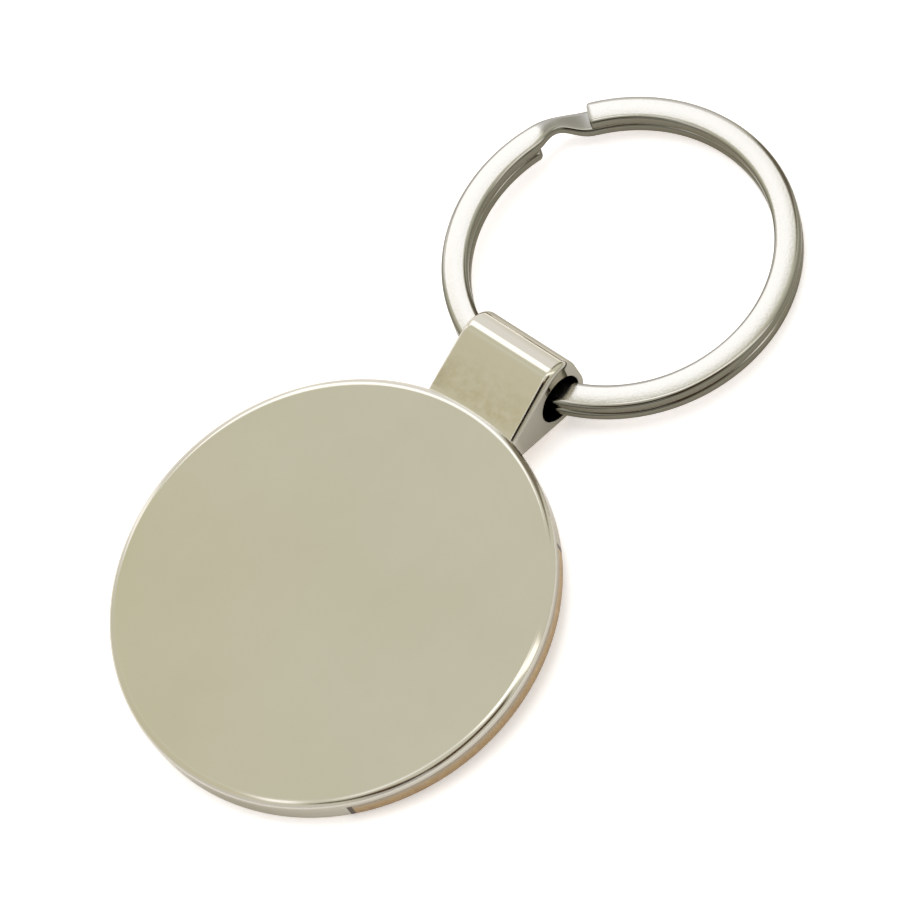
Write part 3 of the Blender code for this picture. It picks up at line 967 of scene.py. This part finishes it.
# %% Dried glue
STREAK_CLOUDS = (600.0, 2.0)
GLUE_DEEP = (0.300, 0.190, 0.100)
GLUE_PALE = (0.420, 0.280, 0.160)
GLUE_ROUGHNESS = (0.35, 0.55)


def dried_glue():
    """Brown that varies in tone and gloss with one mask."""
    finish, tree, shader = new_material("dried_glue")
    streak = cloud_mask(tree, piece_place(tree), *STREAK_CLOUDS)
    tone = blend_colour(tree, streak, GLUE_DEEP, GLUE_PALE)
    tree.links.new(tone, shader.inputs["Base Color"])
    tree.links.new(blend_value(tree, streak, *GLUE_ROUGHNESS), shader.inputs["Roughness"])
    return finish


glue_finish = dried_glue()
print("dried glue nodes:", len(glue_finish.node_tree.nodes))

# %% [markdown]
# Each finished piece gets its material and is attached to the body it rides on, and the packed
# node that it stands for is hidden. The glue is a plain sheet, so its own node is dressed
# instead of being made again.

# %% Dress the pieces


def dress(item, finish):
    """Give the piece one material."""
    item.data.materials.clear()
    item.data.materials.append(finish)


for item, finish, body, cad_node, slot in (
        (casting, nickel_finish, "tag", "tag_body", "polished_nickel"),
        (ring, satin_finish, "ring", "split_ring", "satin_nickel"),
        (wood, wood_finish, "tag", "wood_inlay", "pale_wood")):
    dress(item, finish)
    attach(item, body)
    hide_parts(cad_node)
dress(frame["nodes"]["glue_sheet"], glue_finish)
print("dressed:", [item.name for item in (casting, ring, wood)])

# %% [markdown]
# The tag lies on pale paper, tilted a little, because it rests on the plate's far rim and the
# barrel of the lug. The object has to stay in its own frame, so the paper is tilted instead. It
# could be a white glow only, but then the object would have no shadow, so matt paper carries
# the shadow, and a plain glow lifts it evenly, as light scattered inside thick paper does.

# %% Floor
TABLE_SLOPE = 3.002
FLOOR_HALF = 0.9
FLOOR_CLEARANCE = 0.01 * MM
FLOOR_TONE = (0.56, 0.56, 0.57)
FLOOR_SEEN = (0.93, 0.92, 0.96)
FLOOR_GLOW = (0.42, 0.40, 0.385, 1.0)


def add_floor():
    """Square plane (side, run), with its normal tilted, just under the casting's lowest point."""
    s = math.radians(TABLE_SLOPE)
    normal = np.array([0.0, math.sin(s), math.cos(s)])
    along = np.array([0.0, math.cos(s), -math.sin(s)])
    points = np.empty(len(casting.data.vertices) * 3, np.float32)
    casting.data.vertices.foreach_get("co", points)
    drop = (points.reshape(-1, 3) @ normal).min() - FLOOR_CLEARANCE
    side = np.array([-1.0, 1.0])[:, None, None] * FLOOR_HALF * np.array([1.0, 0.0, 0.0])
    run = np.array([-1.0, 1.0])[None, :, None] * FLOOR_HALF * along
    return surface("floor", side + run + drop * normal)


def pale_paper():
    """Matt paper that looks brighter, and glows, to camera, mirror and glass rays only."""
    finish = bpy.data.materials.new("pale_paper")
    finish.use_nodes = True
    tree = finish.node_tree
    tree.nodes.clear()
    path = node(tree, "ShaderNodeLightPath")
    mirrored = node(tree, "ShaderNodeMath", {"operation": "MAXIMUM"},
                    i0=path.outputs["Is Glossy Ray"], i1=path.outputs["Is Transmission Ray"])
    seen = node(tree, "ShaderNodeMath", {"operation": "MAXIMUM"},
                i0=path.outputs["Is Camera Ray"], i1=mirrored.outputs[0])
    tone = blend_colour(tree, seen.outputs[0], FLOOR_TONE, FLOOR_SEEN)
    matt = node(tree, "ShaderNodeBsdfDiffuse", Color=tone)
    glow = node(tree, "ShaderNodeEmission", Color=FLOOR_GLOW, Strength=seen.outputs[0])
    both = node(tree, "ShaderNodeAddShader", i0=matt.outputs[0], i1=glow.outputs[0])
    node(tree, "ShaderNodeOutputMaterial", Surface=both.outputs[0])
    finish.cycles.emission_sampling = "NONE"
    return finish


floor = add_floor()
floor.data.materials.append(pale_paper())
print("floor's corners, mm:", [round(v.co.z / MM, 1) for v in floor.data.vertices])

# %% [markdown]
# One soft lamp stands for a large window high up, a little behind and to the left. It draws the
# shadow on the paper. An area lamp would do this too, but a wide sun keeps the light even over
# the whole object. It is left out of mirror reflections, where the cards of the next cells show.

# %% Lamp
LAMP_FROM = Vector((-0.235, 0.195, 0.95))
LAMP_STRENGTH = 1.25
LAMP_WIDTH = 35.0


def add_lamp():
    """Sun whose light comes from LAMP_FROM, spread over LAMP_WIDTH degrees."""
    lamp = bpy.data.objects.new("window", bpy.data.lights.new("window", "SUN"))
    bpy.context.scene.collection.objects.link(lamp)
    lamp.data.energy = LAMP_STRENGTH
    lamp.data.angle = math.radians(LAMP_WIDTH)
    lamp.visible_glossy = False
    lamp.matrix_world = LAMP_FROM.to_track_quat("Z", "Y").to_matrix().to_4x4()
    return lamp


window = add_lamp()
print("lamp:", window.name, "strength", round(window.data.energy, 2))

# %% [markdown]
# A mirror shows its surroundings, so the look of polished metal is mostly the studio round it.
# Cards could be built as planes, but then they would light and shade the floor as well. So the
# studio is a world shader. Each card is placed on the plan of the sky, where the centre is
# overhead and the rim is the horizon, and there it is simply a soft-edged rectangle.

# %% Soft cards


def soft_card_group():
    """Mask of a rectangle on the plan: 1 within its half sizes, easing to 0 over the softness."""
    tree, given, out = new_group("soft_card", {
        "Plan": "Vector", "Centre": "Vector", "Turn": "Float", "Half Size": "Vector",
        "Softness": "Float"}, {"Mask": "Float"})
    away = node(tree, "ShaderNodeVectorMath", {"operation": "SUBTRACT"},
                i0=given.outputs["Plan"], i1=given.outputs["Centre"])
    turned = node(tree, "ShaderNodeVectorRotate", {"rotation_type": "Z_AXIS", "invert": True},
                  Vector=away.outputs[0], Angle=given.outputs["Turn"])
    size = node(tree, "ShaderNodeVectorMath", {"operation": "ABSOLUTE"}, i0=turned.outputs[0])
    past = node(tree, "ShaderNodeVectorMath", {"operation": "SUBTRACT"},
                i0=size.outputs[0], i1=given.outputs["Half Size"])
    outside = node(tree, "ShaderNodeVectorMath", {"operation": "MAXIMUM"},
                   i0=past.outputs[0], i1=(0.0, 0.0, 0.0))
    gap = node(tree, "ShaderNodeVectorMath", {"operation": "LENGTH"}, i0=outside.outputs[0])
    mask = node(tree, "ShaderNodeMapRange", {"interpolation_type": "SMOOTHSTEP"},
                Value=gap.outputs["Value"], i1=given.outputs["Softness"], i2=0.0)
    tree.links.new(mask.outputs[0], out.inputs["Mask"])
    return tree


soft_card = soft_card_group()
print("card nodes:", len(soft_card.nodes))

# %% [markdown]
# The studio itself is a plain tent, pale grey with a touch of yellow. One picture of a real
# studio could stand for it, but cards can be moved one by one until each reflection lies where
# the photograph has it. Walls shade the tent softly, dark openings give the polished edges their
# depth, and bright cards put the white lines on them. A later card covers an earlier one.

# %% World
TENT = (0.81, 0.82, 0.71)
CARDS = (
    # name, colour, centre on the plan, turn in degrees, half size, softness
    ("warm_wall", (0.80, 0.78, 0.63), (-0.52, -0.40), 0.0, (0.14, 0.12), 0.25),
    ("straw_wall", (0.79, 0.79, 0.60), (-0.60, 0.04), 0.0, (0.05, 0.04), 0.12),
    ("near_wall", (0.82, 0.82, 0.80), (-0.20, -0.90), 0.0, (0.50, 0.10), 0.20),
    ("right_wall", (0.62, 0.62, 0.59), (0.72, -0.60), -45.0, (0.25, 0.12), 0.30),
    ("left_wall", (1.00, 1.01, 1.02), (-0.97, 0.20), 0.0, (0.08, 0.25), 0.15),
    ("cool_wall", (1.08, 1.09, 1.11), (-0.72, 0.62), 40.0, (0.30, 0.16), 0.14),
    ("back_gap", (0.26, 0.23, 0.18), (-0.18, 0.82), 0.0, (0.11, 0.17), 0.09),
    ("opening_foot", (0.26, 0.17, 0.12), (0.30, -0.40), 0.0, (0.20, 0.09), 0.11),
    ("opening", (0.085, 0.038, 0.016), (0.56, -0.08), 0.0, (0.15, 0.22), 0.12),
    ("dark_line", (0.006, 0.005, 0.003), (0.26, -0.43), 6.0, (0.29, 0.04), 0.055),
    ("main_card", (1.76, 1.82, 1.92), (-0.56, 0.40), 14.0, (0.21, 0.085), 0.05),
    ("rim_card", (1.80, 1.82, 1.88), (-0.62, 0.285), 35.0, (0.12, 0.09), 0.035),
    ("left_card", (1.50, 1.52, 1.56), (-0.88, 0.05), 0.0, (0.09, 0.02), 0.08),
    ("roof_card", (2.00, 2.02, 2.10), (-0.06, 0.165), 6.0, (0.12, 0.03), 0.09),
    ("far_card", (1.85, 1.82, 1.80), (0.40, 0.355), 18.0, (0.36, 0.04), 0.08),
    ("edge_card", (1.36, 1.37, 1.42), (-0.225, -0.04), -72.0, (0.10, 0.01), 0.08),
    ("spark_card", (1.55, 1.56, 1.60), (-0.265, -0.29), -60.0, (0.15, 0.012), 0.07),
    ("low_line", (0.93, 0.93, 0.82), (-0.50, 0.00), -8.0, (0.12, 0.003), 0.035),
)


def add_world():
    """Tent with the cards blended over it, each by its own mask on the plan of the sky."""
    world = bpy.data.worlds.new("studio")
    bpy.context.scene.world = world
    world.use_nodes = True
    tree = world.node_tree
    tree.nodes.clear()
    view = node(tree, "ShaderNodeTexCoord")
    plan = node(tree, "ShaderNodeVectorMath", {"operation": "MULTIPLY"},
                i0=view.outputs["Generated"], i1=(1.0, 1.0, 0.0))
    colour = node(tree, "ShaderNodeRGB").outputs[0]
    colour.default_value = (*TENT, 1.0)
    for name, tone, centre, turn, half_size, softness in CARDS:
        card = node(tree, "ShaderNodeGroup", {"node_tree": soft_card, "label": name},
                    Plan=plan.outputs[0], Centre=(*centre, 0.0), Turn=math.radians(turn),
                    Half_Size=(*half_size, 1.0), Softness=softness)
        colour = blend_colour(tree, card.outputs["Mask"], colour, tone)
    studio = node(tree, "ShaderNodeBackground", Color=colour, Strength=1.0)
    node(tree, "ShaderNodeOutputWorld", Surface=studio.outputs[0])


add_world()
print("cards:", [card[0] for card in CARDS])
